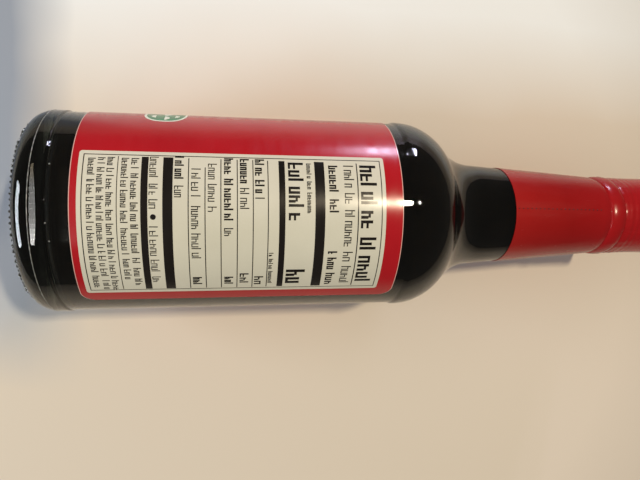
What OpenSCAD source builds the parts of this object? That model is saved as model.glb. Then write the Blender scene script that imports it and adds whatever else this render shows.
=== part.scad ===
// A glass soy sauce bottle lying on its side, full, with a wrap label, a cap and a shrink sleeve.
// The bottle's axis runs along +X, base at -X and cap at +X. It rests on z = 0.
// Radial sizes are measured from the axis, and places along it from the base's bearing ring.

/* [Glass body] */
// Diameter of the heel ring and the shoulder ring, the widest places
body_d = 61.6; // [51.2:0.2:74]
// Distance from the bearing ring to where the shoulder starts to curve
body_len = 110.2; // [91.8:0.2:132.4]
// Depth of the label panel below the two rings
panel_recess = 0.4; // [0.2:0.1:1]
// Distance from the bearing ring to the start of the label panel
heel_ring_end = 8.4; // [7:0.2:12]
// Length of the shoulder ring, between the label panel and the shoulder's curve
shoulder_ring_len = 1.2; // [1:0.1:3]
// Length of the slope from a ring down to the label panel
panel_slope = 0.9; // [0.4:0.1:2]
// Thickness of the glass wall
wall = 3; // [2:0.1:3.8]
// Thickness of the glass at the middle of the base
base_wall = 4.6; // [3:0.1:7]
// Width across the small flat spots that the bottle lies on
flat_width = 3.6; // [2:0.1:6]

/* [Heel and base] */
// Length of the rounded heel, along the axis
heel_len = 5.7; // [4:0.1:6.5]
// Depth of the rounded heel, across the axis
heel_depth = 4; // [3:0.1:6]
// Radius of the inner edge of the bearing ring
bearing_in_r = 23.6; // [16:0.1:24]
// Height of the push-up in the middle of the base
push_up = 3.2; // [1.5:0.1:6]

/* [Shoulder and neck] */
// Radius of the shoulder's curve
shoulder_r = 19; // [15:0.1:21]
// Radius of the hollow curve from the shoulder to the neck
neck_fillet_r = 19; // [12:0.1:24]
// Distance from where the shoulder starts to curve to the top of the tapering neck
neck_len = 74.4; // [62:0.2:90]
// Diameter of the neck at its top
neck_top_d = 27.7; // [23:0.1:33.4]
// Angle of the neck's taper, on each side
neck_taper = 4.2; // [2:0.1:4.5]

/* [Bead and mouth] */
// Height of the bead below the cap, above the top of the neck
bead_rise = 0.25; // [0.1:0.05:1.5]
// Length of the bead along the axis
bead_len = 5.2; // [3:0.1:8]
// Length of the neck between its top and the bead
bead_lead = 1.8; // [1:0.1:3]
// Diameter of the finish that the cap screws on
finish_d = 23.8; // [19.8:0.1:28.6]
// Length of the finish from the bead to the mouth
finish_len = 16.2; // [12:0.1:22]
// Thickness of the glass in the finish
finish_wall = 2.7; // [1.8:0.1:3.6]

/* [Cap] */
// Thickness of the cap's skirt
cap_wall = 1.2; // [0.8:0.1:1.6]
// Thickness of the cap's top
cap_top = 1.8; // [1:0.1:3]
// Radius of the cap's rounded top edge
cap_edge_r = 1; // [0.5:0.1:1.4]
// Gap between the cap's skirt and the bead
cap_gap = 1.4; // [0.4:0.1:2]

/* [Label] */
// Bare glass between the heel ring's slope and the label
label_base_margin = 5.7; // [1:0.1:12]
// Bare glass between the label and the shoulder ring's slope
label_top_margin = 2.8; // [1:0.1:12]
// Thickness of the label
label_t = 0.1; // [0.06:0.01:0.2]
// Angle of the bare glass between the label's two ends
label_gap_angle = 36; // [10:1:90]
// Angle of the label's end, from straight up towards -Y
label_end_angle = 58.5; // [30:0.5:90]
// Radius of the label's corners
label_corner_r = 4; // [1:0.1:6]

/* [Shrink sleeve] */
// Length of the neck that the sleeve covers, below the neck's top
sleeve_on_neck = 35.9; // [20:0.1:40]
// Thickness of the sleeve's film
film_t = 0.15; // [0.1:0.01:0.3]
// How far the film curls in over the cap's top
sleeve_curl = 2.4; // [1:0.1:5]

/* [Fits] */
// Clearance between the sauce and the glass, and between the cap's liner and the mouth
fill_gap = 0.05; // [0.02:0.01:0.1]
// Clearance between the film or the label and what it lies on
skin_gap = 0.03; // [0.02:0.01:0.06]
// Clearance between the cap's skirt and the finish, which the thread takes up
thread_gap = 0.5; // [0.3:0.1:1]

/* [Hidden] */
$fn = 96;
arc_steps = 14;
corner_ease = 0.06;
body_r = body_d / 2;
panel_r = body_r - panel_recess;
panel_end = body_len - shoulder_ring_len - panel_slope;
panel_start = heel_ring_end + panel_slope;
label_start = panel_start + label_base_margin;
label_len = panel_end - label_top_margin - label_start;
neck_end = body_len + neck_len;
neck_top_r = neck_top_d / 2;
sleeve_start = neck_end - sleeve_on_neck;
bead_start = neck_end + bead_lead;
bead_root = 0.4;
bead_end = bead_start + bead_len;
mouth = bead_end + finish_len;
finish_r = finish_d / 2;
bore_r = finish_r - finish_wall;
cap_in_r = finish_r + thread_gap;
cap_r = cap_in_r + cap_wall;
cap_start = bead_end + cap_gap;
cap_end = mouth + fill_gap + cap_top;
total_len = cap_end + skin_gap + film_t;
flat_drop = body_r - sqrt(body_r * body_r - flat_width * flat_width / 4);
axis_z = body_r - flat_drop;
big = 4 * total_len;

// Points of an arc about centre c, from angle a0 to a1. Each point is [along the axis, radius].
function arc(c, r, a0, a1) =
    [for (i = [0 : arc_steps]) let (a = a0 + (a1 - a0) * i / arc_steps) c + r * [cos(a), sin(a)]];
// The same for an ellipse with half axes rx along the axis and ry across it.
function oval_arc(c, rx, ry, a0, a1) =
    [for (i = [0 : arc_steps]) let (a = a0 + (a1 - a0) * i / arc_steps) c + [rx * cos(a), ry * sin(a)]];

function reversed(list) = [for (i = [len(list) - 1 : -1 : 0]) list[i]];

// The neck is a cone. neck_u runs along its side and neck_n straight out of it.
neck_u = [cos(neck_taper), -sin(neck_taper)];
neck_n = [sin(neck_taper), cos(neck_taper)];
neck_top = [neck_end, neck_top_r];
shoulder_c = [body_len, body_r - shoulder_r];
// Centre of the hollow curve that touches both the shoulder's curve and the neck's side
fillet_rise = neck_fillet_r - (shoulder_c - neck_top) * neck_n;
fillet_run = sqrt(pow(shoulder_r + neck_fillet_r, 2) - fillet_rise * fillet_rise);
fillet_c = shoulder_c + neck_n * fillet_rise + neck_u * fillet_run;
fillet_dir = fillet_c - shoulder_c;
fillet_angle = atan2(fillet_dir[1], fillet_dir[0]);
function neck_r(x) = neck_top_r + (neck_end - x) * tan(neck_taper);
fillet_end = fillet_c[0] + neck_fillet_r * cos(270 - neck_taper);

// Side of the shoulder and neck, set back by t into the glass, up to the top of the neck
function shoulder_side(t) = concat(
    arc(shoulder_c, shoulder_r - t, 90, fillet_angle),
    arc(fillet_c, neck_fillet_r + t, 180 + fillet_angle, 270 - neck_taper));

function base_side() = concat(
    oval_arc([0, 0], push_up, bearing_in_r, 0, 90),
    oval_arc([heel_len, body_r - heel_depth], heel_len, heel_depth, 180, 90));

function body_side() = [
    [heel_ring_end, body_r],
    [panel_start, panel_r],
    [panel_end, panel_r],
    [panel_end + panel_slope, body_r]];

// The bead is part of an oval whose centre lies bead_root below the top of the neck
function bead_side(t, last = 10) = oval_arc(
    [bead_start + bead_len / 2, neck_top_r - bead_root],
    bead_len / 2 + t, bead_rise + bead_root + t, 170, last);

function outer_side() = concat(
    base_side(), body_side(), shoulder_side(0), [neck_top], bead_side(0),
    [[bead_end, finish_r], [mouth, finish_r]]);

// The hollow inside the glass, set in by a clearance g, from the middle of the base to the mouth
function inner_side(g) = let (
        floor_x = push_up + base_wall + g,
        side_r = panel_r - wall - g,
        heel_x = heel_len + wall + g)
    concat(
        [[floor_x, 0], [floor_x, side_r - heel_len]],
        oval_arc([floor_x + heel_depth, side_r - heel_len], heel_depth, heel_len, 180, 90),
        arc([body_len, body_r - shoulder_r], side_r - body_r + shoulder_r, 90, fillet_angle),
        arc(fillet_c, neck_fillet_r + wall + panel_recess + g, 180 + fillet_angle, 270 - neck_taper),
        [neck_top - neck_n * (wall + panel_recess + g), [bead_end, bore_r - g]]);

// Turns a side, given as [along the axis, radius], into a solid about the X axis
module turned(side) {
    rotate([0, 90, 0])
        rotate_extrude()
            polygon([for (p = side) [p[1], p[0]]]);
}

// Moves what is modelled on the axis, from the bearing ring, to where the bottle lies
module lying() {
    translate([-total_len / 2, 0, axis_z]) children();
}

module glass_bottle() {
    color([0.75, 0.78, 0.74, 0.4])
        difference() {
            lying() turned(concat(outer_side(), [[mouth, bore_r]], reversed(inner_side(0))));
            // The flat spots under the heel ring and the shoulder ring
            translate([-big / 2, -big / 2, -big]) cube(big);
        }
}

module soy_sauce() {
    sauce_end = mouth - fill_gap;
    color([0.09, 0.05, 0.03])
        lying() turned(concat(inner_side(fill_gap), [[sauce_end, bore_r - fill_gap], [sauce_end, 0]]));
}

// Cuts the outside of one rounded corner. It stands at the corner and looks out along the radius.
// The circle is corner_ease larger than the corner, so that it crosses both edges at a clear angle.
module corner_cutter() {
    reach = label_corner_r + 1;
    linear_extrude(big)
        difference() {
            translate([-1, -1]) square(reach);
            translate([label_corner_r, label_corner_r]) circle(label_corner_r + corner_ease);
        }
}

module label() {
    inner_r = panel_r + skin_gap;
    outer_r = inner_r + label_t;
    wrap = 360 - label_gap_angle;
    color([0.66, 0.10, 0.11])
        lying() difference() {
            rotate([0, 90, 0])
                rotate([0, 0, 180 + label_end_angle - wrap])
                    rotate_extrude(angle = wrap)
                        translate([inner_r, label_start]) square([label_t, label_len]);
            // Two corners at each end of the wrap, the far end's turned the other way round
            for (side = [0, 1], edge = [0, 1])
                rotate([label_end_angle - side * wrap, 0, 0])
                    translate([label_start + edge * label_len, 0, 0])
                        mirror([edge, 0, 0]) mirror([0, side, 0]) corner_cutter();
        }
}

module cap() {
    top_in = mouth + fill_gap;
    color([0.60, 0.07, 0.07])
        lying() turned(concat(
            [[cap_start, cap_in_r], [cap_start, cap_r]],
            arc([cap_end - cap_edge_r, cap_r - cap_edge_r], cap_edge_r, 90, 0),
            [[cap_end, 0], [top_in, 0], [top_in, cap_in_r]]));
}

// Angle at which the film leaves the bead's oval, which is earlier when the cap stands out further
film_leave = max(10, atan2(
    (cap_r - neck_top_r + bead_root) * bead_len / 2 / (bead_rise + bead_root),
    cap_start - bead_start - bead_len / 2));
// The sleeve's lower edge, which lies on the hollow curve when the straight neck is short
function sleeve_foot(t) = sleeve_start < fillet_end
    ? let (first = 360 - acos((sleeve_start - fillet_c[0]) / neck_fillet_r))
        [for (i = [0 : 6]) let (a = first + (270 - neck_taper - first) * i / 6)
            fillet_c + (neck_fillet_r - t) * [cos(a), sin(a)]]
    : [[sleeve_start, neck_r(sleeve_start) + t]];

// What the film lies on, from the sleeve's lower edge to the top of the cap, set out by t
function sleeve_side(t) = concat(
    sleeve_foot(t), [[neck_end, neck_top_r + t]],
    bead_side(t, film_leave),
    [[cap_start, cap_r + t]],
    arc([cap_end - cap_edge_r, cap_r - cap_edge_r], cap_edge_r + t, 90, 0),
    [[cap_end + t, cap_r - cap_edge_r - sleeve_curl]]);

module neck_sleeve() {
    color([0.55, 0.04, 0.05])
        lying() turned(concat(sleeve_side(skin_gap + film_t), reversed(sleeve_side(skin_gap))), $fn = 72);
}

glass_bottle();
soy_sauce();
label();
cap();
neck_sleeve();
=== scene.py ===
"""A full glass soy sauce bottle lying on its side, with its wrap label, screw cap and sleeve.

The bottle's axis runs along +X, from the base to the cap. A place on it is given by u, the
distance from the bearing ring along the axis, by r, the distance from the axis, and by turn, the
angle about the axis from straight up (+Z) towards -Y. Lengths are in metres, and MM turns
millimetres into metres.
"""
import math
import random

import bmesh
import bpy
from mathutils import Matrix, Vector


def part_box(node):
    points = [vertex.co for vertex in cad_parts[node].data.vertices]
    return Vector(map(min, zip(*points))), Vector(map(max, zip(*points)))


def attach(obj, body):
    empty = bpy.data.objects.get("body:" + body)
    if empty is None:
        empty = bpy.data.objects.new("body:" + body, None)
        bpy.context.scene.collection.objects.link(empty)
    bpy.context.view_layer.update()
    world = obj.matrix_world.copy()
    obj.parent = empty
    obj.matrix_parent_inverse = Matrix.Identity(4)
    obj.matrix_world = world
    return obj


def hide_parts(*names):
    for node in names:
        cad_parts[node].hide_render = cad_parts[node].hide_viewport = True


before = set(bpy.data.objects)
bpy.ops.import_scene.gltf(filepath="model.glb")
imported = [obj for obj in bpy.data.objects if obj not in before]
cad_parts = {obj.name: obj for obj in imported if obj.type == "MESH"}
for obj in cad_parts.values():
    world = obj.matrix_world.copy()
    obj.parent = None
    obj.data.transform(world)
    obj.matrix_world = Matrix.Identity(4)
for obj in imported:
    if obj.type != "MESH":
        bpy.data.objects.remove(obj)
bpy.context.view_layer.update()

MM = 0.001

# ---------------- places taken from the frame
GLASS_LOW, GLASS_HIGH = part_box("glass_bottle")
SAUCE_LOW, SAUCE_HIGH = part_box("soy_sauce")
LABEL_LOW, LABEL_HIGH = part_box("label")
SLEEVE_LOW, SLEEVE_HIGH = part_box("neck_sleeve")
CAP_LOW, CAP_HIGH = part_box("cap")

BASE_X = GLASS_LOW.x
BODY_R = GLASS_HIGH.y
AXIS_Z = GLASS_HIGH.z - BODY_R
AXIS = (BASE_X, 0.0, AXIS_Z)
MOUTH = GLASS_HIGH.x - BASE_X
SAUCE_START, SAUCE_END = SAUCE_LOW.x - BASE_X, SAUCE_HIGH.x - BASE_X
SAUCE_R = SAUCE_HIGH.y
LABEL_START, LABEL_END = LABEL_LOW.x - BASE_X, LABEL_HIGH.x - BASE_X
LABEL_R = LABEL_HIGH.z - AXIS_Z
SLEEVE_START = SLEEVE_LOW.x - BASE_X
CAP_START, CAP_END = CAP_LOW.x - BASE_X, CAP_HIGH.x - BASE_X
CAP_R = CAP_HIGH.y

# ---------------- sizes of the glass
FILL_GAP, INTO_WALL = 0.05 * MM, 0.1 * MM
PANEL_R = BODY_R - 0.4 * MM
HEEL_RING_END = 8.4 * MM
HEEL_SLOPE, SHOULDER_SLOPE = 0.9 * MM, 2.0 * MM
PANEL_END = LABEL_END + 2.8 * MM
SHOULDER_START = PANEL_END + 2.1 * MM
SHOULDER_R, FILLET_R = 19 * MM, 19 * MM
HEEL_LEN, HEEL_DEPTH = 5.7 * MM, 4 * MM
BEARING_IN_R, PUSH_UP = 23.6 * MM, 3.2 * MM
NECK_END = SHOULDER_START + 74.4 * MM
NECK_TOP_R = 13.85 * MM
NECK_TAPER = math.radians(4.2)
BEAD_LEN, BEAD_RISE, BEAD_ROOT = 5.2 * MM, 0.25 * MM, 0.4 * MM
BEAD_START = NECK_END + 1.8 * MM
BEAD_END = BEAD_START + BEAD_LEN
FINISH_R, BORE_R = 11.9 * MM, 9.2 * MM
LIP_R, MOUTH_FLARE, BORE_STEP = 0.6 * MM, 0.8 * MM, 0.2 * MM
SEAM_U, SEAM_R = 5.2 * MM, 0.11 * MM
PARTING_START, PARTING_MARGIN, PARTING_R = 3.4 * MM, 0.3 * MM, 0.07 * MM

# ---------------- sizes of the cap, the sleeve and the label
CAP_WALL, CAP_TOP, CAP_EDGE, CAP_CHAMFER = 1.2 * MM, 1.8 * MM, 1.0 * MM, 0.2 * MM
DISH_DEPTH, DISH_RIM, DISH_SLOPE = 0.4 * MM, 3.9 * MM, 0.8 * MM
FILM_GAP, FILM = 0.03 * MM, 0.15 * MM
SLEEVE_CURL = 2.4 * MM
HOLES, HOLE_SPACING, HOLE_R, FIRST_HOLE = 21, 1.6 * MM, 0.23 * MM, 1.0 * MM
LABEL_T, LABEL_CORNER = 0.1 * MM, 4 * MM
LABEL_TURN, LABEL_GAP = math.radians(58.5), math.radians(36)
LABEL_V1 = LABEL_TURN * LABEL_R
LABEL_V0 = LABEL_V1 - (2 * math.pi - LABEL_GAP) * LABEL_R
PANEL_U = (16.9 * MM, 100.1 * MM)
PANEL_V = (-15.6 * MM, 27.1 * MM)
FIELD_LIFT, INK_LIFT, LAYER = 0.012 * MM, 0.022 * MM, 0.008 * MM

TURNED_SEGMENTS, WELD = 224, 0.002 * MM
ONTO_X = (0, math.pi / 2, 0)


# ---------------- small helpers
def mm(*values):
    """Millimetres as metres."""
    return tuple(value * MM for value in values)


def place(u, r, turn):
    """The point at distance u along the bottle and r from its axis, at an angle about it."""
    return Vector((BASE_X + u, -r * math.sin(turn), AXIS_Z + r * math.cos(turn)))


def arc(centre, rx, ry, start, end, steps):
    """Points of an ellipse's arc, as (u, r), from angle start to end in degrees."""
    angles = [math.radians(start + (end - start) * i / steps) for i in range(steps + 1)]
    return [(centre[0] + rx * math.cos(a), centre[1] + ry * math.sin(a)) for a in angles]


def line(a, b, steps):
    """Points from a to b, without a itself."""
    shares = [i / steps for i in range(1, steps + 1)]
    return [(a[0] + (b[0] - a[0]) * t, a[1] + (b[1] - a[1]) * t) for t in shares]


def slope(u0, r0, u1, r1, steps=12, turn_at=0.5):
    """A soft step between two radii, without its first point, steepest at turn_at of its length."""
    points = []
    for i in range(1, steps + 1):
        t = i / steps
        ease = t * t / turn_at if t < turn_at else 1 - (1 - t) ** 2 / (1 - turn_at)
        points.append((u0 + (u1 - u0) * t, r0 + (r1 - r0) * ease))
    return points


def guarded(side, reach=0.08 * MM):
    """Adds a point near the ends of long stretches beside curves, so that only curves look bent."""
    runs = [math.dist(a, b) for a, b in zip(side, side[1:])]
    points = [side[0]]
    for i, run in enumerate(runs):
        a, b = Vector(side[i]), Vector(side[i + 1])
        if i > 0 and runs[i - 1] < run / 2 and run > 3 * reach:
            points.append(tuple(a + (b - a) * (reach / run)))
        if i + 1 < len(runs) and runs[i + 1] < run / 2 and run > 3 * reach:
            points.append(tuple(b + (a - b) * (reach / run)))
        points.append(side[i + 1])
    return points


def link(obj):
    bpy.context.scene.collection.objects.link(obj)
    return obj


def mesh_object(name, vertices, faces=(), edges=()):
    mesh = bpy.data.meshes.new(name)
    mesh.from_pydata([tuple(v) for v in vertices], edges, faces)
    mesh.update()
    return link(bpy.data.objects.new(name, mesh))


def path_object(name, points, closed):
    """A line through points, joined at its ends where it is closed."""
    edges = [(i, i + 1) for i in range(len(points) - 1)]
    if closed:
        edges.append((len(points) - 1, 0))
    return mesh_object(name, points, edges=edges)


def smooth(obj, angle):
    """Shades a piece smooth, except at edges sharper than an angle in degrees."""
    obj.data.shade_smooth()
    obj.data.set_sharp_from_angle(angle=math.radians(angle))
    return obj


def face_outwards(piece):
    """Makes the faces of a closed piece point out of it."""
    work = bmesh.new()
    work.from_mesh(piece.data)
    bmesh.ops.recalc_face_normals(work, faces=work.faces)
    if work.calc_volume(signed=True) < 0:
        bmesh.ops.reverse_faces(work, faces=work.faces)
    work.to_mesh(piece.data)
    work.free()


# ---------------- nodes
def node(tree, kind, inputs=None, **settings):
    """Adds a node, joins its inputs to sockets or sets them to values, and gives its outputs."""
    made = tree.nodes.new(kind)
    for key, value in settings.items():
        setattr(made, key, value)
    for key, value in (inputs or {}).items():
        if isinstance(value, bpy.types.NodeSocket):
            tree.links.new(value, made.inputs[key])
        else:
            made.inputs[key].default_value = value
    return made.outputs


def calc(tree, operation, *values):
    """A scalar Math node on sockets or numbers."""
    return node(tree, "ShaderNodeMath", dict(enumerate(values)), operation=operation)[0]


def split(tree, vector):
    """The X, Y and Z of a vector."""
    return node(tree, "ShaderNodeSeparateXYZ", {0: vector})


# ---------------- geometry node trees
def new_tree(name, inputs):
    """A geometry tree with named inputs, each given its socket's kind, and a material."""
    tree = bpy.data.node_groups.new(name, "GeometryNodeTree")
    for label, kind in {"Geometry": "Geometry", **inputs, "Material": "Material"}.items():
        tree.interface.new_socket(label, in_out="INPUT", socket_type="NodeSocket" + kind)
    tree.interface.new_socket("Geometry", in_out="OUTPUT", socket_type="NodeSocketGeometry")
    return tree, node(tree, "NodeGroupInput")


def finish_tree(tree, geometry, start):
    """Ends a tree in Realize Instances and Set Material."""
    real = node(tree, "GeometryNodeRealizeInstances", {"Geometry": geometry})[0]
    painted = node(tree, "GeometryNodeSetMaterial", {
        "Geometry": real, "Material": start["Material"]})[0]
    node(tree, "NodeGroupOutput", {0: painted})
    return tree


def stood(tree, geometry, at, turn=(0, 0, 0)):
    """A geometry turned and moved to its place."""
    return node(tree, "GeometryNodeTransform", {
        "Geometry": geometry, "Translation": at, "Rotation": turn})[0]


def circle(tree, points, radius):
    return node(tree, "GeometryNodeCurvePrimitiveCircle", {
        "Resolution": points, "Radius": radius}, mode="RADIUS")["Curve"]


def swept(tree, path, profile, caps=False):
    """A profile drawn along a path."""
    return node(tree, "GeometryNodeCurveToMesh", {
        "Curve": path, "Profile Curve": profile, "Fill Caps": caps})[0]


def scattered(tree, points, item, **inputs):
    """An item on each point."""
    return node(tree, "GeometryNodeInstanceOnPoints", {
        "Points": points, "Instance": item, **inputs})[0]


def moved(tree, geometry, **to):
    """A geometry with each of its points moved to the given X, Y and Z."""
    position = node(tree, "ShaderNodeCombineXYZ", to)[0]
    return node(tree, "GeometryNodeSetPosition", {"Geometry": geometry, "Position": position})[0]


def drawn_position(tree):
    return split(tree, node(tree, "GeometryNodeInputPosition")[0])


def turned_tree():
    """Turns a side, drawn as a line in X (along) and Y (radius), about the bottle's axis."""
    tree, start = new_tree("turned", {"Segments": "Int", "Rail Radius": "Float", "Axis": "Vector"})
    side = node(tree, "GeometryNodeMeshToCurve", {0: start["Geometry"]})[0]
    x, y, _ = drawn_position(tree)
    # The rail's normal points outwards, so a radius becomes what is drawn less the rail's radius
    profile = moved(tree, side, X=calc(tree, "SUBTRACT", y, start["Rail Radius"]),
                    Y=calc(tree, "MULTIPLY", x, -1.0))
    shell = swept(tree, circle(tree, start["Segments"], start["Rail Radius"]), profile)
    welded = node(tree, "GeometryNodeMergeByDistance", {"Geometry": shell, "Distance": WELD})[0]
    return finish_tree(tree, stood(tree, welded, start["Axis"], ONTO_X), start)


def lay_round(tree, geometry, start):
    """Lays a flat print, drawn as X along, Y round and Z out, on a cylinder about the axis."""
    x, y, z = drawn_position(tree)
    turn = calc(tree, "DIVIDE", y, start["Radius"])
    radius = calc(tree, "ADD", z, start["Radius"])
    side = calc(tree, "MULTIPLY", radius, calc(tree, "SINE", turn))
    laid = moved(tree, geometry, X=x, Y=calc(tree, "MULTIPLY", side, -1.0),
                 Z=calc(tree, "MULTIPLY", radius, calc(tree, "COSINE", turn)))
    faced = node(tree, "GeometryNodeFlipFaces", {0: laid})[0]
    return finish_tree(tree, stood(tree, faced, start["Axis"]), start)


def wrap_tree():
    """Wraps a flat sheet round the bottle."""
    tree, start = new_tree("wrapped_print", {"Radius": "Float", "Axis": "Vector"})
    return lay_round(tree, start["Geometry"], start)


def strokes_tree():
    """Puts a flat mark on each point, as large as the point's size, and wraps them round."""
    tree, start = new_tree("print_strokes", {"Radius": "Float", "Axis": "Vector"})
    mark = node(tree, "GeometryNodeMeshGrid", {"Vertices X": 2, "Vertices Y": 2})["Mesh"]
    size = node(tree, "GeometryNodeInputNamedAttribute", {"Name": "size"},
                data_type="FLOAT_VECTOR")[0]
    marks = scattered(tree, start["Geometry"], mark, Scale=size)
    real = node(tree, "GeometryNodeRealizeInstances", {"Geometry": marks})[0]
    return lay_round(tree, real, start)


def knurl_tree():
    """A ring of small radial bumps, each a little different in size."""
    tree, start = new_tree("bearing_knurl", {
        "Count": "Int", "Ring Radius": "Float", "Bump Length": "Float", "Bump Width": "Float",
        "Bump Height": "Float", "Seed": "Int", "Place": "Vector"})
    ring = node(tree, "GeometryNodeMeshCircle", {
        "Vertices": start["Count"], "Radius": start["Ring Radius"]})[0]
    knob = node(tree, "GeometryNodeMeshUVSphere", {
        "Segments": 8, "Rings": 6, "Radius": 1.0})["Mesh"]
    index = node(tree, "GeometryNodeInputIndex")[0]
    step = calc(tree, "DIVIDE", 2 * math.pi, start["Count"])
    turn = node(tree, "ShaderNodeCombineXYZ", {"Z": calc(tree, "MULTIPLY", index, step)})[0]
    size = node(tree, "ShaderNodeCombineXYZ", {
        "X": start["Bump Length"], "Y": start["Bump Width"], "Z": start["Bump Height"]})[0]
    low_at, high_at, number_at = 2, 3, 1
    varied = node(tree, "FunctionNodeRandomValue", {
        low_at: 0.7, high_at: 1.15, "Seed": start["Seed"]}, data_type="FLOAT")[number_at]
    scale = node(tree, "ShaderNodeVectorMath", {0: size, "Scale": varied}, operation="SCALE")[0]
    bumps = scattered(tree, ring, knob, Rotation=turn, Scale=scale)
    return finish_tree(tree, stood(tree, bumps, start["Place"], ONTO_X), start)


def seam_tree():
    """A thin round ridge along a line."""
    tree, start = new_tree("mould_seam", {"Ridge Radius": "Float"})
    path = node(tree, "GeometryNodeMeshToCurve", {0: start["Geometry"]})[0]
    ridge_shell = swept(tree, path, circle(tree, 6, start["Ridge Radius"]), caps=True)
    return finish_tree(tree, ridge_shell, start)


def pinholes_tree():
    """A small bead on each point, for perforations and for bubbles in the glass."""
    tree, start = new_tree("pinholes", {"Hole Radius": "Float"})
    bead = node(tree, "GeometryNodeMeshIcoSphere", {
        "Radius": start["Hole Radius"], "Subdivisions": 2})["Mesh"]
    return finish_tree(tree, scattered(tree, start["Geometry"], bead), start)


TURNED, WRAP, STROKES = turned_tree(), wrap_tree(), strokes_tree()
KNURL, SEAM, PINHOLES = knurl_tree(), seam_tree(), pinholes_tree()


def grow(name, source, tree, values):
    """Runs a geometry tree on an object and returns a plain mesh object of what it makes."""
    modifier = source.modifiers.new("grow", "NODES")
    modifier.node_group = tree
    for item in tree.interface.items_tree:
        if item.in_out == "INPUT" and item.name in values:
            modifier[item.identifier] = values[item.name]
    graph = bpy.context.evaluated_depsgraph_get()
    mesh = bpy.data.meshes.new_from_object(source.evaluated_get(graph))
    mesh.name = name
    bpy.data.objects.remove(source)
    return link(bpy.data.objects.new(name, mesh))


def turned(name, side, material, closed=True, segments=TURNED_SEGMENTS):
    """A piece turned about the bottle's axis from its side, a list of (u, r)."""
    source = path_object(name + "_side", [(u, r, 0) for u, r in side], closed)
    piece = grow(name, source, TURNED, {
        "Segments": segments, "Rail Radius": 1.0, "Axis": AXIS, "Material": material})
    face_outwards(piece)
    return piece


# ---------------- the sides of the turned pieces
def neck_r(u):
    return NECK_TOP_R + (NECK_END - u) * math.tan(NECK_TAPER)


def neck_curve():
    """Centres of the shoulder's curve and of the hollow curve on to the neck, and their angle."""
    along = Vector((math.cos(NECK_TAPER), -math.sin(NECK_TAPER)))
    out = Vector((math.sin(NECK_TAPER), math.cos(NECK_TAPER)))
    centre = Vector((SHOULDER_START, BODY_R - SHOULDER_R))
    rise = FILLET_R - (centre - Vector((NECK_END, NECK_TOP_R))).dot(out)
    run = math.sqrt((SHOULDER_R + FILLET_R) ** 2 - rise * rise)
    hollow = centre + out * rise + along * run
    angle = math.degrees(math.atan2(hollow.y - centre.y, hollow.x - centre.x))
    return centre, hollow, angle


def shoulder_side(inset, steps=34):
    """The shoulder and the start of the neck, set back into the glass."""
    centre, hollow, angle = neck_curve()
    convex = arc(centre, SHOULDER_R - inset, SHOULDER_R - inset, 90, angle, steps)
    concave = arc(hollow, FILLET_R + inset, FILLET_R + inset,
                  180 + angle, 270 - math.degrees(NECK_TAPER), steps)
    return convex + concave[1:]


def bead_side(lift, steps=14):
    centre = (BEAD_START + BEAD_LEN / 2, NECK_TOP_R - BEAD_ROOT)
    return arc(centre, BEAD_LEN / 2 + lift, BEAD_RISE + BEAD_ROOT + lift, 170, 10, steps)


def glass_outside():
    """The glass from the middle of the base round the heel and along the bottle to the mouth."""
    heel = arc((HEEL_LEN, BODY_R - HEEL_DEPTH), HEEL_LEN, HEEL_DEPTH, 180, 90, 26)
    side = arc((0, 0), PUSH_UP, BEARING_IN_R, 0, 90, 30)
    side += line(side[-1], heel[0], 5)
    side += heel[1:]
    side += line(side[-1], (HEEL_RING_END, BODY_R), 4)
    side += slope(HEEL_RING_END, BODY_R, HEEL_RING_END + HEEL_SLOPE, PANEL_R)
    side += line(side[-1], (PANEL_END, PANEL_R), 10)
    side += slope(PANEL_END, PANEL_R, PANEL_END + SHOULDER_SLOPE, BODY_R, 18, turn_at=0.35)
    side += line(side[-1], (SHOULDER_START, BODY_R), 1)
    side += shoulder_side(0)[1:]
    side += line(side[-1], (NECK_END, NECK_TOP_R), 12)
    side += bead_side(0)
    side += [(BEAD_END, FINISH_R), (MOUTH - LIP_R, FINISH_R)]
    side += arc((MOUTH - LIP_R, FINISH_R - LIP_R), LIP_R, LIP_R, 75, 0, 5)
    return guarded(side)


def glass_inside(into_wall):
    """The hollow from the middle of the base to the mouth, set out into the wall by a little."""
    side_r = SAUCE_R + FILL_GAP + into_wall
    floor = SAUCE_START - FILL_GAP - into_wall
    inset = BODY_R - side_r
    side = [(floor, 0.0)]
    side += line(side[-1], (floor, side_r - HEEL_LEN), 8)
    side += arc((floor + HEEL_DEPTH, side_r - HEEL_LEN), HEEL_DEPTH, HEEL_LEN, 180, 90, 18)[1:]
    side += line(side[-1], (SHOULDER_START, side_r), 8)
    side += shoulder_side(inset, 26)[1:]
    inwards = Vector((math.sin(NECK_TAPER), math.cos(NECK_TAPER)))
    side += line(side[-1], tuple(Vector((NECK_END, NECK_TOP_R)) - inwards * inset), 6)
    side += line(side[-1], (BEAD_END, BORE_R + into_wall), 3)
    return side


def cap_side():
    """The cap's skirt, rounded edge and top, with a shallow dish in the top."""
    inner, dish, rim = CAP_R - CAP_WALL, CAP_END - DISH_DEPTH, CAP_R - DISH_RIM
    side = [(CAP_START, inner), (CAP_START, CAP_R - CAP_CHAMFER), (CAP_START + CAP_CHAMFER, CAP_R)]
    side += line(side[-1], (CAP_END - CAP_EDGE, CAP_R), 6)
    side += arc((CAP_END - CAP_EDGE, CAP_R - CAP_EDGE), CAP_EDGE, CAP_EDGE, 90, 0, 8)[1:]
    side += slope(CAP_END, rim, dish, rim - DISH_SLOPE, 6)
    side += line(side[-1], (dish, 0.0), 6)
    return guarded(side) + [(CAP_END - CAP_TOP, 0.0), (CAP_END - CAP_TOP, inner)]


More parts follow.
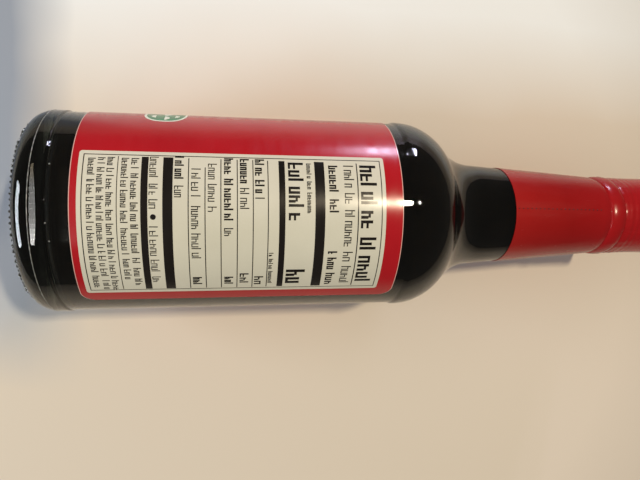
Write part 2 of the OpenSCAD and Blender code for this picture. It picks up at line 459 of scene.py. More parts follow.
def sleeve_side(lift):
    """What the film lies on, from the sleeve's lower edge over the bead and the cap."""
    side = [(SLEEVE_START, neck_r(SLEEVE_START) + lift)]
    side += line(side[-1], (NECK_END, NECK_TOP_R + lift), 30)
    side += bead_side(lift)
    side += line(side[-1], (CAP_START, CAP_R + lift), 6)
    side += line(side[-1], (CAP_END - CAP_EDGE, CAP_R + lift), 44)
    side += arc((CAP_END - CAP_EDGE, CAP_R - CAP_EDGE), CAP_EDGE + lift, CAP_EDGE + lift,
                90, 0, 10)[1:]
    side += line(side[-1], (CAP_END + lift, CAP_R - CAP_EDGE - SLEEVE_CURL), 8)
    return guarded(side)


# ---------------- materials
GLASS_IOR, FILM_IOR = 1.51, 1.45


def tone(red, green, blue):
    """A colour from its 0 to 255 display values."""
    def channel(value):
        value /= 255
        return value / 12.92 if value <= 0.04045 else ((value + 0.055) / 1.055) ** 2.4
    return (channel(red), channel(green), channel(blue), 1.0)


def new_material(name, **sockets):
    """A material with one Principled shader, whose plain values are set on the shader itself."""
    material = bpy.data.materials.new(name)
    material.use_nodes = True
    shader = material.node_tree.nodes["Principled BSDF"]
    for key, value in sockets.items():
        shader.inputs[key.replace("_", " ")].default_value = value
    return material, material.node_tree


def dress(material, colour, roughness, normal):
    """Joins a colour, a roughness and a relief to a material's shader."""
    shader = material.node_tree.nodes["Principled BSDF"]
    for name, socket in (("Base Color", colour), ("Roughness", roughness), ("Normal", normal)):
        material.node_tree.links.new(socket, shader.inputs[name])
    return material


def object_coords(tree, stretch=(1, 1, 1)):
    coords = node(tree, "ShaderNodeTexCoord")["Object"]
    return node(tree, "ShaderNodeMapping", {"Vector": coords, "Scale": stretch})[0]


def noise(tree, scale, detail=2.0, stretch=(1, 1, 1)):
    return node(tree, "ShaderNodeTexNoise", {
        "Vector": object_coords(tree, stretch), "Scale": scale, "Detail": detail})[0]


def remap(tree, value, low, high, to_low=0.0, to_high=1.0):
    limits = (value, low, high, to_low, to_high)
    return node(tree, "ShaderNodeMapRange", dict(enumerate(limits)))[0]


def tones(tree, value, *stops):
    """Colours along a value, each stop given as (place, colour)."""
    colour, _ = node(tree, "ShaderNodeValToRGB", {"Fac": value})
    elements = colour.node.color_ramp.elements
    while len(elements) < len(stops):
        elements.new(0.5)
    for element, (at, shade) in zip(elements, stops):
        element.position = at
        element.color = shade
    return colour


def relief(tree, height, strength, distance, **under):
    return node(tree, "ShaderNodeBump", {
        "Height": height, "Strength": strength, "Distance": distance, **under})["Normal"]


def blend(tree, factor, first, second):
    """Mixes two colours, each a socket or a plain colour."""
    factor_at, first_at, second_at, colour_at = 0, 6, 7, 2
    return node(tree, "ShaderNodeMix", {
        factor_at: factor, first_at: first, second_at: second}, data_type="RGBA")[colour_at]


def clear_glass():
    """Bottle glass, with the slow ripple of a blown wall and faint handling scuffs."""
    material, tree = new_material("clear_glass", Transmission_Weight=1.0, IOR=GLASS_IOR)
    ripple = noise(tree, 95.0, 1.0, (0.35, 1, 1))
    depth = node(tree, "ShaderNodeVolumeAbsorption", {
        "Color": (0.42, 0.46, 0.40, 1.0), "Density": 70.0})[0]
    tree.links.new(depth, tree.nodes["Material Output"].inputs["Volume"])
    return dress(
        material,
        tones(tree, noise(tree, 30.0), (0.3, tone(236, 241, 234)), (0.7, tone(244, 247, 240))),
        remap(tree, noise(tree, 900.0, 4.0), 0.55, 0.8, 0.004, 0.035),
        relief(tree, ripple, 0.05, 0.08 * MM))


def worn_glass_painted_glint():
    """Glass along mould seams and in the seeds, dulled by handling, with a pale grey colour that is
    a painted highlight for the light these small bumps catch.
    """
    material, tree = new_material("worn_glass_painted_glint", Transmission_Weight=0.35, IOR=GLASS_IOR)
    grain = noise(tree, 1400.0, 3.0)
    return dress(
        material,
        tones(tree, grain, (0.3, tone(120, 122, 118)), (0.75, tone(196, 198, 192))),
        remap(tree, grain, 0.3, 0.7, 0.12, 0.4),
        relief(tree, grain, 0.3, 0.05 * MM))


def dark_sauce():
    """Soy sauce behind glass, nearly black with a little brown."""
    material, tree = new_material("dark_sauce", IOR=1.12, Specular_IOR_Level=0.4)
    cloud = noise(tree, 45.0, 2.0)
    return dress(
        material,
        tones(tree, cloud, (0.3, (0.0034, 0.0025, 0.0015, 1)), (0.7, (0.0068, 0.0042, 0.0022, 1))),
        remap(tree, cloud, 0.3, 0.7, 0.05, 0.11),
        relief(tree, cloud, 0.05, 0.2 * MM))


def printed_film(name, light, dark, rough=(0.17, 0.27), coat=0.05):
    """Glossy label film with fine stretch lines along the bottle and a little uneven ink."""
    material, tree = new_material(
        name, IOR=FILM_IOR, Specular_IOR_Level=0.42, Coat_Weight=coat, Coat_Roughness=0.16)
    ink, grain = noise(tree, 60.0, 3.0), noise(tree, 2600.0, 2.0)
    stretch = noise(tree, 420.0, 3.0, (1.0, 0.18, 0.18))
    mottled = calc(tree, "ADD", calc(tree, "MULTIPLY", ink, 0.75),
                   calc(tree, "MULTIPLY", grain, 0.25))
    return dress(
        material,
        tones(tree, mottled, (0.3, dark), (0.7, light)),
        remap(tree, stretch, 0.3, 0.7, *rough),
        relief(tree, stretch, 0.12, 0.06 * MM, Normal=relief(tree, ink, 0.10, 0.5 * MM)))


def shrink_film():
    """Red shrink film, darkest about a third of the way from its lower edge and lighter towards
    both ends, with soft puckers.
    """
    material, tree = new_material(
        "shrink_film", IOR=FILM_IOR, Specular_IOR_Level=0.36, Coat_Weight=0.04,
        Coat_Roughness=0.14)
    x, _, _ = split(tree, object_coords(tree))
    along = remap(tree, x, SLEEVE_LOW.x, SLEEVE_HIGH.x)
    cloud = noise(tree, 70.0, 3.0)
    drawn = noise(tree, 380.0, 2.0, (0.25, 1.0, 1.0))
    drift = calc(tree, "MULTIPLY", calc(tree, "SUBTRACT", cloud, 0.5), 0.25)
    return dress(
        material,
        tones(tree, calc(tree, "ADD", along, drift), (0.0, tone(158, 28, 26)),
              (0.35, tone(140, 17, 17)), (0.7, tone(150, 18, 22)), (1.0, tone(160, 20, 26))),
        remap(tree, drawn, 0.3, 0.7, 0.18, 0.28),
        relief(tree, drawn, 0.04, 0.08 * MM, Normal=relief(tree, cloud, 0.2, 0.5 * MM)))


def cap_plastic():
    """Moulded red plastic with a fine satin grain."""
    material, tree = new_material("cap_plastic", IOR=1.47)
    grain = noise(tree, 1800.0, 3.0)
    return dress(
        material,
        tones(tree, noise(tree, 80.0), (0.3, tone(150, 14, 20)), (0.7, tone(172, 20, 26))),
        remap(tree, grain, 0.3, 0.7, 0.3, 0.48),
        relief(tree, grain, 0.25, 0.04 * MM))


def pale_table():
    """Smooth off-white table cover, with a painted cool shadow past the bottle's base, painted
    shade near the bottle and a painted darkening away from it.
    """
    material, tree = new_material("pale_table", Specular_IOR_Level=0.25)
    coords = object_coords(tree)
    middle = (-0.035, -0.01, 0.0)
    cloud, fine = noise(tree, 9.0, 3.0), noise(tree, 700.0, 2.0)
    drift = calc(tree, "MULTIPLY", calc(tree, "SUBTRACT", cloud, 0.5), 0.03)
    x, y, _ = split(tree, coords)
    x, y = calc(tree, "ADD", x, drift), calc(tree, "ADD", y, drift)
    # painted shadow: a cool blue-grey patch past the bottle's base where the warm lamp's shadow
    # falls, ending farther out along -X
    painted_shadow = calc(tree, "MULTIPLY", remap(tree, x, -0.101, -0.124), remap(tree, y, -0.066, -0.034))
    painted_shadow = calc(tree, "MULTIPLY", painted_shadow, remap(tree, x, -0.45, -0.30))
    # painted shade: the cream is darker near the bottle and on its near side, lighter farther out
    # on its far side
    cream = blend(tree, remap(tree, y, 0.040, 0.085), tone(214, 203, 187), tone(232, 235, 234))
    # painted shadow tone: lighter grey towards the near side, bluer and darker towards the far side
    painted_shadow_tone = blend(tree, remap(tree, y, -0.012, 0.018), tone(178, 181, 184), tone(146, 154, 166))
    # painted shade: the floor darkens to a mid beige from 16 to 30 cm away from the bottle's
    # middle, a painted falloff of light
    away = node(tree, "ShaderNodeVectorMath", {0: coords, 1: middle}, operation="DISTANCE")["Value"]
    return dress(
        material,
        blend(tree, remap(tree, away, 0.16, 0.30), blend(tree, painted_shadow, cream, painted_shadow_tone),
              tone(176, 168, 156)),
        remap(tree, fine, 0.3, 0.7, 0.55, 0.7),
        relief(tree, fine, 0.08, 0.1 * MM))


GLASS, WORN_GLASS_PAINTED_GLINT, SAUCE = clear_glass(), worn_glass_painted_glint(), dark_sauce()
SLEEVE_FILM, CAP_PLASTIC, TABLE = shrink_film(), cap_plastic(), pale_table()
RED_FILM = printed_film("red_label_film", tone(175, 26, 35), tone(162, 20, 29))
CREAM_FILM = printed_film("cream_panel", tone(212, 209, 192), tone(203, 200, 182))
# painted highlight: the clear film edge coloured pale pink, as where it catches the light
PAINTED_EDGE_GLINT_FILM = printed_film("film_edge", tone(222, 180, 170), tone(205, 160, 150))
DARK_INK = printed_film("dark_ink", tone(30, 26, 24), tone(20, 17, 15), coat=0.1)
GREEN_INK = printed_film("green_ink", tone(28, 122, 72), tone(18, 104, 60))
PALE_INK = printed_film("pale_ink", tone(226, 232, 214), tone(212, 222, 200))
GOLD_INK = printed_film("gold_ink", tone(216, 170, 84), tone(200, 152, 66))
DARK_SLOT = printed_film("tear_line_shadow", tone(62, 8, 8), tone(46, 6, 6), (0.45, 0.6), 0.0)


# ---------------- flat prints
def strip(name, rows, material, lift, thickness=0.0):
    """A flat shape from rows of (v, u from, u to), wrapped round the label and raised by lift."""
    vertices, faces = [], []
    for v, u0, u1 in rows:
        vertices += [(u0, v, lift), (u1, v, lift)]
    firsts = range(0, 2 * len(rows) - 2, 2)
    faces += [(a, a + 1, a + 3, a + 2) for a in firsts]
    if thickness:
        low = len(vertices)
        vertices += [(x, y, z - thickness) for x, y, z in vertices]
        for a in firsts:
            b = low + a
            faces += [(b, b + 2, b + 3, b + 1), (a, a + 2, b + 2, b), (a + 1, b + 1, b + 3, a + 3)]
        last = low - 2
        faces += [(0, low, low + 1, 1), (last, last + 1, low + last + 1, low + last)]
    piece = grow(name, mesh_object(name + "_flat", vertices, faces), WRAP, {
        "Radius": LABEL_R, "Axis": AXIS, "Material": material})
    return smooth(piece, 30)


def rounded_rows(u0, u1, v0, v1, corner, step=0.8 * MM):
    """Rows of a rectangle with rounded corners."""
    def inset(depth):
        depth = min(max(depth, 0.0), corner)
        return corner - math.sqrt(max(corner ** 2 - (corner - depth) ** 2, 0.0))
    marks = [corner * (1 - math.cos(math.pi / 2 * i / 10)) for i in range(11)]
    straight = v1 - v0 - 2 * corner
    inner = max(2, int(straight / step))
    places = [v0 + m for m in marks]
    places += [v0 + corner + straight * i / inner for i in range(1, inner)]
    places += [v1 - m for m in reversed(marks)]
    insets = [inset(min(v - v0, v1 - v)) for v in places]
    return [(v, u0 + d, u1 - d) for v, d in zip(places, insets)]


def oval_rows(u, v, ru, rv, power=2.0, steps=28):
    """Rows of an oval. A power above two makes it squarer."""
    rows = []
    for i in range(steps + 1):
        t = -math.cos(math.pi * i / steps)
        half = ru * max(1 - abs(t) ** power, 0.0) ** (1 / power)
        rows.append((v + rv * t, u - half, u + half))
    return rows


def leaf_rows(u, v, length, width, bend, steps=14):
    """Rows of a pointed leaf lying along v, bent towards +u or -u."""
    rows = []
    for i in range(steps + 1):
        t = i / steps
        half = width / 2 * math.sin(math.pi * t) ** 0.8
        middle = u + bend * math.sin(math.pi * t)
        rows.append((v + length * (t - 0.5), middle - half, middle + half))
    return rows


def merged(name, pieces):
    """Joins wrapped pieces of one material into one."""
    with bpy.context.temp_override(active_object=pieces[0], selected_editable_objects=pieces):
        bpy.ops.object.join()
    pieces[0].name = name
    pieces[0].data.name = name
    return pieces[0]


def strokes(name, marks, material, lift):
    """Small flat marks, each given as (u, v, size along, size round)."""
    source = mesh_object(name + "_points", [(u, v, lift) for u, v, _, _ in marks])
    sizes = source.data.attributes.new("size", "FLOAT_VECTOR", "POINT")
    for item, (_, _, along, across) in zip(sizes.data, marks):
        item.vector = (along, across, 1.0)
    return grow(name, source, STROKES, {"Radius": LABEL_R, "Axis": AXIS, "Material": material})


# ---------------- the panel's print, in millimetres
# Each bar or rule: from, to, along the bottle, then from, to, round it
RULES = [
    (79.6, 82.4, -13.6, 25.4), (69.5, 71.2, -13.6, 25.4), (38.4, 41.0, -13.9, 25.6),
    (32.8, 34.6, -13.9, 25.6), (91.75, 92.05, -13.4, 25.3), (66.35, 66.6, -13.6, 25.4),
    (62.25, 62.5, -13.7, 25.5), (57.95, 58.2, -13.7, 25.5), (53.55, 53.8, -13.7, 25.5),
    (49.35, 49.6, -11.0, 25.5), (44.95, 45.2, -13.8, 25.5), (26.7, 26.9, -13.9, 25.6)]

# Each row: from, to, along the bottle, how heavy its letters are, then its words' ends round it
TEXT_ROWS = [
    (92.7, 97.5, "heavy", (-12.8, 6.2), (8.4, 25.5)),
    (88.0, 90.9, "light", (-12.6, -5.6), (-4.2, -0.9), (0.6, 11.4), (12.8, 16.2), (17.6, 25.2)),
    (83.6, 86.3, "bold", (-12.5, -3.6), (-2.4, 2.4), (12.6, 13.6), (14.6, 18.9), (20.0, 25.0)),
    (77.3, 78.7, "bold", (-13.0, -8.2), (-7.4, -5.0), (-4.2, 1.7)),
    (72.1, 76.4, "heavy", (-13.2, 4.0)), (71.9, 77.4, "heavy", (18.6, 24.5)),
    (66.8, 68.1, "bold", (13.0, 14.2), (14.9, 18.4), (19.1, 24.3)),
    (62.9, 65.5, "bold", (-14.0, -8.6), (-7.6, -3.6)), (62.9, 65.5, "light", (-2.6, -0.9)),
    (62.9, 65.5, "bold", (21.0, 24.6)), (58.8, 61.3, "bold", (-14.0, -6.3)),
    (58.8, 61.3, "light", (-5.2, 1.6)), (58.8, 61.3, "bold", (19.8, 24.6)),
    (54.5, 57.0, "bold", (-14.1, -8.9), (-7.8, 4.6)), (54.5, 57.0, "light", (5.8, 8.2)),
    (54.5, 57.0, "bold", (21.0, 24.6)),
    (50.2, 52.6, "light", (-12.2, -7.3), (-6.2, -1.1), (0.0, 1.7)),
    (45.8, 48.3, "light", (-10.6, -4.0), (-3.0, -1.2), (-0.1, 6.3), (7.3, 15.6)),
    (45.8, 48.3, "bold", (21.0, 24.6)), (41.4, 43.8, "bold", (-14.3, -6.7)),
    (41.4, 43.8, "light", (-5.6, -2.2)),
    (34.9, 37.2, "light", (-14.0, -7.0), (-6.0, -2.8), (-1.8, 0.9)),
    (34.9, 37.2, "light", (5.4, 13.9), (14.9, 19.6), (20.6, 22.9)),
    (30.2, 32.2, "fine", (-13.4, -11.2), (-10.6, -9.6), (-8.8, -1.6), (-0.9, 4.2), (4.9, 6.6),
     (7.3, 13.6), (14.3, 16.8), (17.5, 20.6), (21.3, 24.0)),
    (27.7, 29.6, "fine", (-13.4, -4.9), (-4.2, 0.6), (1.3, 5.2), (5.9, 12.2), (12.9, 13.9),
     (14.6, 17.4), (18.0, 21.6)),
    (24.1, 26.0, "fine", (-13.6, -10.9), (-10.2, -8.9), (-8.2, -4.2), (-3.5, 0.4), (1.1, 4.0),
     (4.7, 7.9), (8.5, 11.3), (11.9, 14.7), (15.3, 19.6), (20.2, 21.2), (21.8, 26.0)),
    (21.7, 23.6, "fine", (-13.4, -12.4), (-11.8, -11.0), (-10.4, -5.4), (-4.8, -3.2),
     (-2.6, 1.0), (1.6, 9.6), (10.2, 11.6), (12.2, 13.0), (13.6, 17.0), (17.6, 21.0),
     (21.8, 25.6)),
    (19.3, 21.2, "fine", (-13.2, -7.6), (-7.0, -6.2), (-5.6, -2.8), (-2.2, -0.9), (-0.3, 3.6),
     (4.2, 6.6), (7.2, 13.0), (13.6, 19.4), (20.0, 24.8))]

# Weight: stem thickness and letter spacing, as shares of the row's height
WEIGHTS = {"heavy": (0.18, 0.56), "bold": (0.19, 0.56), "light": (0.12, 0.52),
           "fine": (0.15, 0.52)}


def greeked_word(low, high, start, end, weight, rng):
    """Marks that have the colour of a word in small print and spell nothing."""
    height = high - low
    stem, pitch = WEIGHTS[weight]
    body = height * 0.74
    count = max(1, round((end - start) / (height * pitch)))
    cell = (end - start) / count
    thick, bar = height * stem, height * stem * 0.8
    marks = []

    def mark(u0, u1, v0, v1):
        marks.append(mm((u0 + u1) / 2, (v0 + v1) / 2, u1 - u0, v1 - v0))

    last = None
    for i in range(count):
        a, b = start + i * cell, start + (i + 0.84) * cell
        shape = rng.choice([s for s in ("arch", "bowl", "tall", "cross", "dip") if s != last])
        last = shape
        top = height if shape == "tall" or i == 0 else body
        mark(low, low + top, a, a + thick)
        if shape == "arch":
            mark(low, low + body - bar, b - thick, b)
            mark(low + body - bar, low + body, a + thick, b)
        elif shape == "bowl":
            mark(low, low + bar, a + thick, b)
            mark(low + body * 0.45, low + body * 0.45 + bar, a + thick, b)
        elif shape == "cross":
            mark(low + body * 0.6, low + body * 0.6 + bar, a + thick, b - thick * 0.4)
            mark(low, low + body * 0.6, b - thick, b)
        elif shape == "dip":
            mark(low, low + bar, a + thick, b - thick)
            mark(low, low + body, b - thick, b)
    return marks


def panel_marks():
    rng = random.Random(19)
    marks = []
    for low, high, weight, *words in TEXT_ROWS:
        for start, end in words:
            marks += greeked_word(low, high, start, end, weight, rng)
    return marks


def side_panel_marks():
    """Small rows of print on the hidden side, between the front mark and the label's end."""
    rows, first_row, row_spacing, height = 13, 90.0, 4.1, 2.1
    row_start, row_end, word_gap = -136.5, -115.0, 1.0
    rng = random.Random(41)
    marks = []
    for row in range(rows):
        low = first_row - row * row_spacing
        start = row_start
        while start < row_end - rng.uniform(0, 5):
            end = start + rng.uniform(2.4, 6.0)
            marks += greeked_word(low, low + height, start, end, "light", rng)
            start = end + word_gap
    return marks


# ---------------- the pieces
def rest_flat(piece):
    """Flattens a piece where the bottle rests on the floor."""
    for vertex in piece.data.vertices:
        vertex.co.z = max(vertex.co.z, GLASS_LOW.z)
    return piece


def bottle_glass():
    """The glass, turned with its hollow, and flattened where it rests."""
    side = glass_outside() + [(MOUTH, BORE_R + MOUTH_FLARE), (MOUTH - MOUTH_FLARE, BORE_R)]
    side += [(BEAD_END + BORE_STEP, BORE_R)] + list(reversed(glass_inside(0.0)))
    return smooth(rest_flat(turned("bottle_glass", side, GLASS, closed=False)), 50)


def sauce_fill():
    """The sauce, which reaches just into the wall so that no air shows between them."""
    side = glass_inside(INTO_WALL) + [(SAUCE_END, BORE_R + INTO_WALL), (SAUCE_END, 0.0)]
    return smooth(turned("sauce_fill", side, SAUCE, closed=False, segments=160), 50)


def screw_cap():
    return smooth(turned("screw_cap", cap_side(), CAP_PLASTIC, segments=120), 40)


def nearness(u, middle, reach):
    """One at the middle of a zone, falling softly to nothing away from it."""
    return math.exp(-((u - middle) / reach) ** 2)


def pucker(u, turn):
    """Waves round the film, most between the bead and the cap and where the film curls in."""
    depth = (0.03 + 0.16 * nearness(u, BEAD_END + 1.5 * MM, 3.2 * MM)
             + 0.22 * nearness(u, CAP_END, 1.6 * MM))
    wave = sum(math.sin(turn * count + phase + u * 260) * share
               for count, phase, share in ((9, 0.4, 0.4), (17, 2.1, 0.35), (29, 4.0, 0.25)))
    return depth * MM * 0.5 * (wave + 0.9)


def gathers(u, turn):
    """Fine folds that run round the film where it is gathered below the cap."""
    spacing = 2.3 * MM
    swing = 0.8 * math.sin(turn * 3 + 0.5)
    fold = 1 + math.sin(2 * math.pi * (u - BEAD_END) / spacing + swing)
    return 0.05 * MM * nearness(u, BEAD_END + 3.0 * MM, 4.0 * MM) * fold


def shrink_sleeve():
    """The shrink sleeve, drawn over the neck, the bead and the cap, with puckers."""
    side = sleeve_side(FILM_GAP + FILM) + list(reversed(sleeve_side(FILM_GAP)))
    piece = turned("shrink_sleeve", side, SLEEVE_FILM)
    for vertex in piece.data.vertices:
        y, z = vertex.co.y, vertex.co.z - AXIS_Z
        r, turn = math.hypot(y, z), math.atan2(-y, z)
        u = vertex.co.x - BASE_X
        if r > FILM_GAP:
            grown = (r + pucker(u, turn) + gathers(u, turn)) / r
            vertex.co.y *= grown
            vertex.co.z = AXIS_Z + z * grown
    return smooth(piece, 60)


def label_pieces():
    """The label film, the cream panel and everything printed on it."""
    film_rows = rounded_rows(LABEL_START, LABEL_END, LABEL_V0, LABEL_V1, LABEL_CORNER)
    panel_rows = rounded_rows(*PANEL_U, *PANEL_V, 0.8 * MM)
    return [strip("label_wrap", film_rows, RED_FILM, 0.0, LABEL_T),
            strip("information_panel", panel_rows, CREAM_FILM, FIELD_LIFT),
            label_edges(film_rows), panel_frame(), panel_rules(),
            strokes("panel_words", panel_marks(), DARK_INK, INK_LIFT),
            strokes("side_words", side_panel_marks(), PALE_INK, FIELD_LIFT)]


def label_edges(rows):
    """The film's own clear edge, a thin pale line beside the glass whose pale colour is a painted
    highlight where the edge catches the light.
    """
    width = 0.2 * MM
    near = [(v, u0, u0 + width) for v, u0, _ in rows]
    far = [(v, u1 - width, u1) for v, _, u1 in rows]
    return merged("film_edges", [strip("near", near, PAINTED_EDGE_GLINT_FILM, FIELD_LIFT),
                                 strip("far", far, PAINTED_EDGE_GLINT_FILM, FIELD_LIFT)])


def panel_frame():
    """The thin line round the panel."""
    inset, width = 1.1 * MM, 0.25 * MM
    corner = width * 0.1
    u0, u1 = PANEL_U[0] + inset, PANEL_U[1] - inset
    v0, v1 = PANEL_V[0] + inset, PANEL_V[1] - inset
    sides = [rounded_rows(u0, u0 + width, v0, v1, corner),
             rounded_rows(u1 - width, u1, v0, v1, corner),
             rounded_rows(u0, u1, v0, v0 + width, corner, width),
             rounded_rows(u0, u1, v1 - width, v1, corner, width)]
    return merged("panel_border", [strip("side", rows, DARK_INK, INK_LIFT) for rows in sides])


def panel_rules():
    """The panel's bars and thin rules, and the round dot in one row."""
    corner, dot = 0.02, (36.0, 2.9, 0.75, 0.75)
    bars = [strip("bar", rounded_rows(*mm(*rule, corner)), DARK_INK, INK_LIFT) for rule in RULES]
    return merged("panel_rules", bars + [strip("dot", oval_rows(*mm(*dot)), DARK_INK, INK_LIFT)])


def round_badge():
    """A plain badge of leaves: a pale border, a green field and six leaves."""
    u, v = 37.3, -38.0
    border = strip("badge_border", oval_rows(*mm(u, v, 6.25, 8.0), 2.6), PALE_INK, FIELD_LIFT)
    field = strip("badge_field", oval_rows(*mm(u, v, 5.55, 7.3), 2.6), GREEN_INK,
                  FIELD_LIFT + LAYER)
    # Each leaf: its place in the badge, its length and width, and its bend
    sprays = [(0, 4.7, 4.0, 1.5, 0.6), (-2.7, 3.0, 3.5, 1.3, -0.7), (2.8, 2.7, 3.5, 1.3, 0.7),
              (0, -1.3, 6.0, 2.5, 0.5), (-2.6, -3.3, 3.5, 1.3, -0.5), (2.6, -3.3, 3.5, 1.3, 0.5)]
    leaves = [strip("leaf", leaf_rows(*mm(u + du, v + dv, *leaf)), PALE_INK,
                    FIELD_LIFT + 2 * LAYER) for du, dv, *leaf in sprays]
    return [border, field, merged("badge_leaves", leaves)]


def front_mark():
    """The hidden front: a cream oval with a gold ring, a bowl with a drop over it, and bars."""
    u, v, drop_u, drop_r = 62.0, -84.0, 67.6, 2.4
    top = FIELD_LIFT + 2 * LAYER
    ring = strip("front_ring", oval_rows(*mm(u, v, 31.0, 20.5), 2.2, 44), GOLD_INK, FIELD_LIFT)
    oval = strip("front_oval", oval_rows(*mm(u, v, 29.8, 19.3), 2.2, 44), CREAM_FILM,
                 FIELD_LIFT + LAYER)
    bowl_rows, drop_rows = [], []
    for t in [i / 12 - 1 for i in range(25)]:
        bowl_rows.append(mm(v + t * 10.5, u - 8.0 + 6.5 * abs(t) ** 2.6, u - 1.0))
        half = drop_r * math.sqrt(max(1 - t * t, 0))
        tip = 4.6 * (1 - abs(t)) ** 1.6
        drop_rows.append(mm(v + t * 2.6, drop_u - half, drop_u + half + tip))
    foot_rows = rounded_rows(*mm(u - 9.4, u - 8.1, v - 4.4, v + 4.4, 0.4))
    bowl = [strip("bowl", bowl_rows, RED_FILM, top), strip("foot", foot_rows, RED_FILM, top)]
    drop = [strip("drop", drop_rows, DARK_INK, top)]
    for u0, u1, half in ((46.0, 48.6, 11.5), (42.2, 43.4, 8.5)):
        v0, v1 = v * MM - half * MM, v * MM + half * MM
        rows = rounded_rows(*mm(u0, u1), v0, v1, 0.3 * MM)
        drop.append(strip("bar", rows, DARK_INK, top))
    band = strip("front_band", rounded_rows(*mm(19.5, 24.5, v - 16, v + 16, 1.0)), GOLD_INK,
                 FIELD_LIFT)
    return [ring, oval, merged("front_bowl", bowl), merged("front_drop", drop), band]


def knurl_ring():
    """The ring of small grip bumps that the bottle stands on."""
    at = (BASE_X + 0.12 * MM, 0.0, AXIS_Z)
    piece = grow("bearing_knurl", mesh_object("knurl_source", [(0, 0, 0)]), KNURL, {
        "Count": 112, "Ring Radius": 26.9 * MM, "Bump Length": 1.4 * MM, "Bump Width": 0.5 * MM,
        "Bump Height": 0.55 * MM, "Seed": 7, "Place": at, "Material": GLASS})
    return smooth(rest_flat(piece), 60)


def along_side(turn, u0, u1):
    """Points of a line along the glass between two places, just under its surface."""
    outer = [(u, r) for u, r in glass_outside() if u0 <= u <= u1 and r > 13 * MM]
    return [place(u, r - 0.05 * MM, turn) for u, r in outer]


def ridge(name, points, radius, closed=False):
    # painted highlight: the worn glass's pale grey paints these ridges as light lines
    grown = grow(name, path_object(name + "_path", points, closed), SEAM, {
        "Ridge Radius": radius, "Material": WORN_GLASS_PAINTED_GLINT})
    return smooth(rest_flat(grown), 60)


def mould_seams():
    """The seam round the heel, and the two parting lines along the bottle's sides."""
    share = (HEEL_LEN - SEAM_U) / HEEL_LEN
    r = (BODY_R - HEEL_DEPTH) + HEEL_DEPTH * math.sqrt(1 - share ** 2)
    count = 200
    round_heel = [place(SEAM_U, r - 0.03 * MM, 2 * math.pi * i / count) for i in range(count)]
    pieces = [ridge("heel_seam", round_heel, SEAM_R, closed=True)]
    stretches = ((PARTING_START, LABEL_START - PARTING_MARGIN),
                 (LABEL_END + PARTING_MARGIN, SLEEVE_START - PARTING_MARGIN))
    for name, degrees in (("parting_line_left", -82), ("parting_line_right", 98)):
        turn = math.radians(degrees)
        pieces.append(merged(name, [
            ridge(name, along_side(turn, *ends), PARTING_R) for ends in stretches]))
    return pieces


def beads(name, points, radius, material):
    """A small bead on each point."""
    return smooth(grow(name, mesh_object(name + "_points", points), PINHOLES, {
        "Hole Radius": radius, "Material": material}), 60)


def glass_seeds():
    """A few tiny seeds that stand out of the glass near the heel."""
    sunk = PANEL_R - 0.05 * MM
    spots = [(9.35, 8.7), (10.0, 17.8), (9.9, -21.0), (12.6, 150.0)]
    points = [place(u * MM, sunk, math.radians(degrees)) for u, degrees in spots]
    # painted highlight: the seeds' pale grey colour stands in for the glints they catch
    return beads("glass_seeds", points, 0.22 * MM, WORN_GLASS_PAINTED_GLINT)


def perforation():
    """The tear line: pinholes along the sleeve."""
    points = []
    for i in range(HOLES):
        u = SLEEVE_START + FIRST_HOLE + i * HOLE_SPACING
        points.append(place(u, neck_r(u) + FILM_GAP + FILM - 0.02 * MM, math.radians(-4.5)))
    return beads("tear_line", points, HOLE_R, DARK_SLOT)


def table():
    """The plain pale floor."""
    half = 1.6
    corners = [(-half, -half, 0), (half, -half, 0), (half, half, 0), (-half, half, 0)]
    floor = mesh_object("table", corners, [(0, 1, 2, 3)])
    floor.data.materials.append(TABLE)
    return floor


# ---------------- light and camera
def area_light(name, direction, distance, size, energy, colour, aim=(0.0, 0.0, 0.03)):
    """A rectangular light that looks at its aim from a direction and a distance."""
    light = bpy.data.lights.new(name, "AREA")
    light.shape = "RECTANGLE"
    light.size, light.size_y = size
    light.energy = energy
    light.color = colour
    lamp = link(bpy.data.objects.new(name, light))
    back = Vector(direction).normalized()
    across = (Vector((1, 0, 0)) - back * back.x).normalized()
    turn = Matrix((across, back.cross(across), back)).transposed().to_4x4()
    lamp.matrix_world = Matrix.Translation(Vector(aim) + back * distance) @ turn


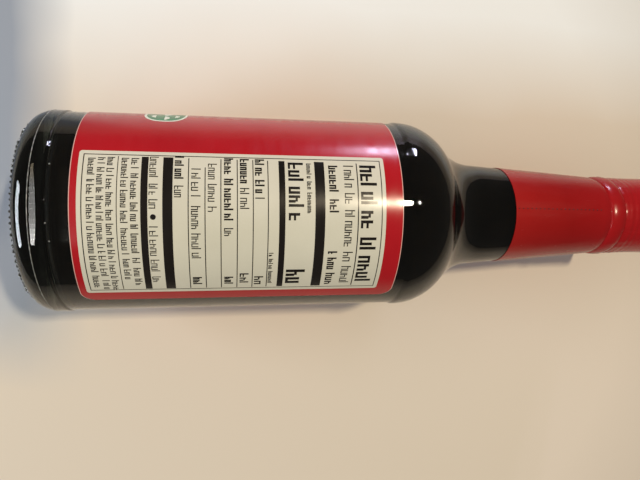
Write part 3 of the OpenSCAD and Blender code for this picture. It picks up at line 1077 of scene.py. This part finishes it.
def heel_bow():
    """A bow of dim strips, which shows as a soft band on the flat of the heel ring."""
    strips, first, spacing = 16, 47, 5.6
    warm_strips, rising_from = 4, 10
    lean, across, size, heel_top = -0.334, 0.943, (0.026, 0.082), (-0.098, 0.0, 0.0615)
    for step in range(strips):
        angle = math.radians(first - spacing * step)
        whiteness = min(step / warm_strips, 1)
        rise = max(0, (step - rising_from) / (strips - 1 - rising_from)) ** 1.5
        power = 0.017 + 0.020 * step / (strips - 1) + 0.075 * rise
        colour = (1.0, 0.8 + 0.18 * whiteness, 0.55 + 0.39 * whiteness)
        direction = (lean, across * math.sin(angle), across * math.cos(angle))
        area_light("heel_strip", direction, 0.8, size, power, colour, heel_top)


def lights():
    """A small warm lamp above, two window panes low on the far side, a side light and the bow."""
    area_light("warm_lamp", (0.337, 0.166, 0.926), 1.25, (0.036, 0.10), 9.6, (1.0, 0.84, 0.60),
               (0.002, 0.0016, 0.0615))
    for name, lean, power in (("window_pane_left", 0.28, 5.0), ("window_pane_right", 0.40, 4.0)):
        area_light(name, (lean, 0.949, 0.21), 1.6, (0.055, 0.26), power, (0.80, 0.74, 1.0))
    area_light("side_softbox", (-0.9, -0.06, 0.35), 1.3, (0.36, 1.1), 17.5, (0.86, 0.92, 1.0))
    heel_bow()
    world = bpy.data.worlds.new("room")
    bpy.context.scene.world = world
    world.use_nodes = True
    background = world.node_tree.nodes["Background"]
    background.inputs["Color"].default_value = (1.0, 0.95, 0.86, 1.0)
    background.inputs["Strength"].default_value = 0.1


def camera():
    """The view from above, leaning a little towards the cap."""
    stand = (-0.0493, -0.0090, 0.2050)
    right = Vector((0.98495, -0.0013, 0.17285))
    up = Vector((0.0013, 1.0, 0.0))
    ahead = Vector((0.17285, -0.0002, -0.98495))
    data = bpy.data.cameras.new("camera")
    data.sensor_width = 36.0
    data.lens = 29.42
    data.clip_start = 0.005
    view = link(bpy.data.objects.new("camera", data))
    turn = Matrix((right, up, -ahead)).transposed().to_4x4()
    view.matrix_world = Matrix.Translation(stand) @ turn
    bpy.context.scene.camera = view


# ---------------- building it all
def carry(pieces, node_name):
    """Puts pieces on the body and hides their CAD node, which the first of them replaces."""
    for piece in pieces:
        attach(piece, "root")
    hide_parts(node_name)


carry([bottle_glass(), knurl_ring(), glass_seeds()] + mould_seams(), "glass_bottle")
carry([sauce_fill()], "soy_sauce")
carry(label_pieces() + round_badge() + front_mark(), "label")
carry([screw_cap()], "cap")
carry([shrink_sleeve(), perforation()], "neck_sleeve")
table()
lights()
camera()
bpy.context.scene.view_settings.view_transform = "Standard"
